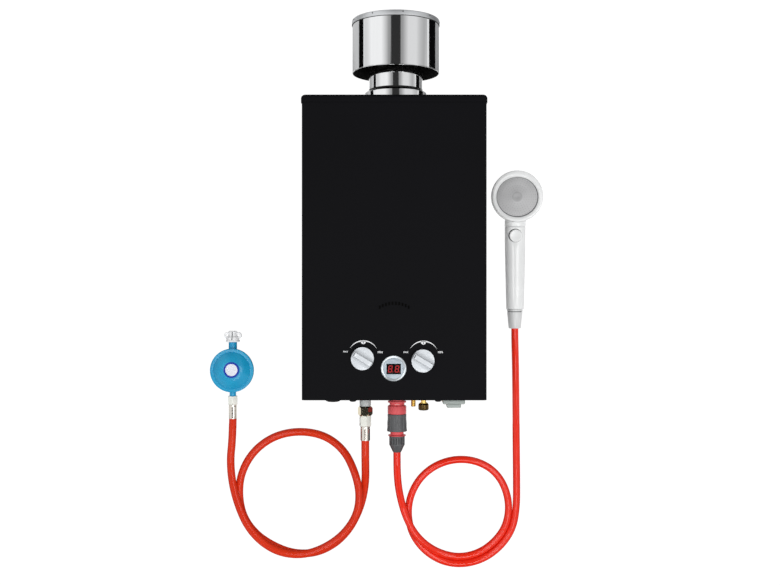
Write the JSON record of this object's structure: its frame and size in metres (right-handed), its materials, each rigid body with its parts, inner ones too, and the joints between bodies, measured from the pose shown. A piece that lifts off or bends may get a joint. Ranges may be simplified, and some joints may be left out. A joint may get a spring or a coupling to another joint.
{
  "type": "propane water heater",
  "caption": "Wall-hung propane water heater with a flue cap, a regulator on a gas hose, and a shower handset on a hose with a quick connector, laid out on its back.",
  "frame": {"origin": "centre of the cabinet's rear face, which rests on the surface", "axes": "+Z out of the front cover, +Y towards the flue cap, +X towards the battery box"},
  "size_m": [0.6326, 1.0308, 0.1753],
  "materials": {
    "zinc_sheet": "satin",
    "black_cabinet": "matte powder coat",
    "mica": "clear",
    "black_screw": "satin",
    "black_rubber": "matte",
    "stainless": "mirror polish",
    "burner_steel": "satin",
    "copper": "satin",
    "ceramic": "glazed",
    "valve_aluminium": "cast",
    "brass": "polished",
    "bronze": "satin",
    "black_plastic": "matte",
    "spring_steel": "satin",
    "pearl_plastic": "pearl",
    "display_black": "gloss",
    "light_grey_plastic": "satin",
    "cell_jacket": "foil jacket",
    "nickel": "nickel plate",
    "gas_hose_rubber": "satin",
    "regulator_blue": "gloss",
    "zinc_casting": "bright",
    "red_plastic": "satin",
    "dark_grey_plastic": "satin",
    "shower_hose_pvc": "gloss",
    "white_plastic": "satin",
    "grey_plate": "satin"
  },
  "bodies": {
    "heater": {"back_panel": "zinc_sheet", "front_cover": "black_cabinet", "top_cover": "black_cabinet", "bottom_plate": "black_cabinet", "view_window": "mica", "cover_screws": "black_screw", "rubber_grommets": "black_rubber", "flue_collar": "stainless", "exhaust_pipe": "stainless", "rain_cap_drum": "stainless", "rain_cap_lid": "stainless", "rain_cap_brackets": "stainless", "flue_hood": "burner_steel", "heat_exchanger": "copper", "combustion_chamber": "copper", "electrodes": "ceramic", "burner_rack": "burner_steel", "gas_manifold": "valve_aluminium", "water_pipes": "copper", "gas_valve": "valve_aluminium", "water_valve": "valve_aluminium", "microswitch": "black_plastic", "igniter_module": "black_plastic", "display_bezel": "pearl_plastic", "display_module": "display_black", "battery_box": "light_grey_plastic", "gas_inlet_fitting": "nickel", "water_nipples": "brass", "relief_valve_body": "brass", "drain_stub": "brass", "gas_hose_fittings": "nickel", "gas_hose": "gas_hose_rubber", "regulator_body": "regulator_blue", "regulator_cover": "regulator_blue", "regulator_spring": "spring_steel", "tap_adaptor": "red_plastic", "connector_core": "red_plastic", "shower_hose": "shower_hose_pvc", "handset_handle": "white_plastic", "handset_head": "white_plastic", "head_ring": "white_plastic", "spray_plate": "grey_plate", "button_spring": "spring_steel"},
    "heat_control": {"heat_knob": "pearl_plastic", "heat_spindle": "brass"},
    "flow_control": {"flow_knob": "pearl_plastic", "flow_spindle": "brass"},
    "valve_rod": {"push_rod": "brass", "valve_diaphragm": "black_rubber"},
    "switch_lever": {"microswitch_lever": "spring_steel"},
    "battery_tray": {"battery_drawer": "light_grey_plastic", "batteries": "cell_jacket"},
    "relief_cap": {"relief_valve_cap": "bronze"},
    "union_nut": {"gas_union_nut": "nickel"},
    "regulator_membrane": {"regulator_diaphragm": "black_rubber"},
    "wing_nut": {"cylinder_nut": "zinc_casting"},
    "connector_sleeve": {"release_sleeve": "dark_grey_plastic"},
    "hose_nut": {"connector_nut": "dark_grey_plastic"},
    "cone_nut": {"hose_cone_nut": "white_plastic"},
    "handset_button": {"stop_button": "white_plastic"}
  },
  "joints": [
    {"name": "heat_knob_turn", "type": "hinge", "parent": "heater", "child": "heat_control", "pos_m": [-0.0565, -0.198, 0.165], "axis": [0, 0, 1], "range_deg": [-119, 9]},
    {"name": "flow_knob_turn", "type": "hinge", "parent": "heater", "child": "flow_control", "pos_m": [0.051, -0.202, 0.165], "axis": [0, 0, 1], "range_deg": [-119, 9]},
    {"name": "valve_rod_slide", "type": "slide", "parent": "heater", "child": "valve_rod", "axis": [-1, 0, 0], "range_m": [0, 0.004], "stiffness_N_per_m": 500, "springref_m": -0.002},
    {"name": "switch_lever_turn", "type": "hinge", "parent": "heater", "child": "switch_lever", "pos_m": [-0.013, -0.184, 0.0776], "axis": [0, 0, -1], "range_deg": [0, 14.4]},
    {"name": "battery_drawer_slide", "type": "slide", "parent": "heater", "child": "battery_tray", "axis": [0, -1, 0], "range_m": [0, 0.06]},
    {"name": "relief_cap_turn", "type": "hinge", "parent": "heater", "child": "relief_cap", "pos_m": [0.0553, -0.294, 0.06], "axis": [0, -1, 0], "range_deg": [0, 360]},
    {"name": "union_nut_turn", "type": "hinge", "parent": "heater", "child": "union_nut", "pos_m": [-0.0538, -0.302, 0.06], "axis": [0, -1, 0], "range_deg": [0, 360]},
    {"name": "regulator_membrane_slide", "type": "slide", "parent": "heater", "child": "regulator_membrane", "axis": [0, 0, 1], "range_m": [-0.001, 0.001], "stiffness_N_per_m": 2000, "deforming": ["regulator_spring"]},
    {"name": "wing_nut_turn", "type": "hinge", "parent": "heater", "child": "wing_nut", "pos_m": [-0.3083, -0.165, 0.018], "axis": [0, 1, 0], "continuous": true},
    {"name": "connector_sleeve_slide", "type": "slide", "parent": "heater", "child": "connector_sleeve", "axis": [0, -1, 0], "range_m": [0, 0.005], "stiffness_N_per_m": 800, "springref_m": -0.002},
    {"name": "hose_nut_turn", "type": "hinge", "parent": "heater", "child": "hose_nut", "pos_m": [0.0056, -0.36, 0.06], "axis": [0, -1, 0], "range_deg": [0, 360]},
    {"name": "cone_nut_turn", "type": "hinge", "parent": "heater", "child": "cone_nut", "pos_m": [0.2316, -0.13, 0.0155], "axis": [0, -1, 0], "continuous": true},
    {"name": "stop_button_press", "type": "slide", "parent": "heater", "child": "handset_button", "axis": [0, 0, -1], "range_m": [0, 0.0025], "stiffness_N_per_m": 600, "springref_m": -0.002, "deforming": ["button_spring"]}
  ],
  "couplings": [
    {"joint": "switch_lever_turn", "follows": "valve_rod_slide", "rad_per_m": 55.5}
  ]
}
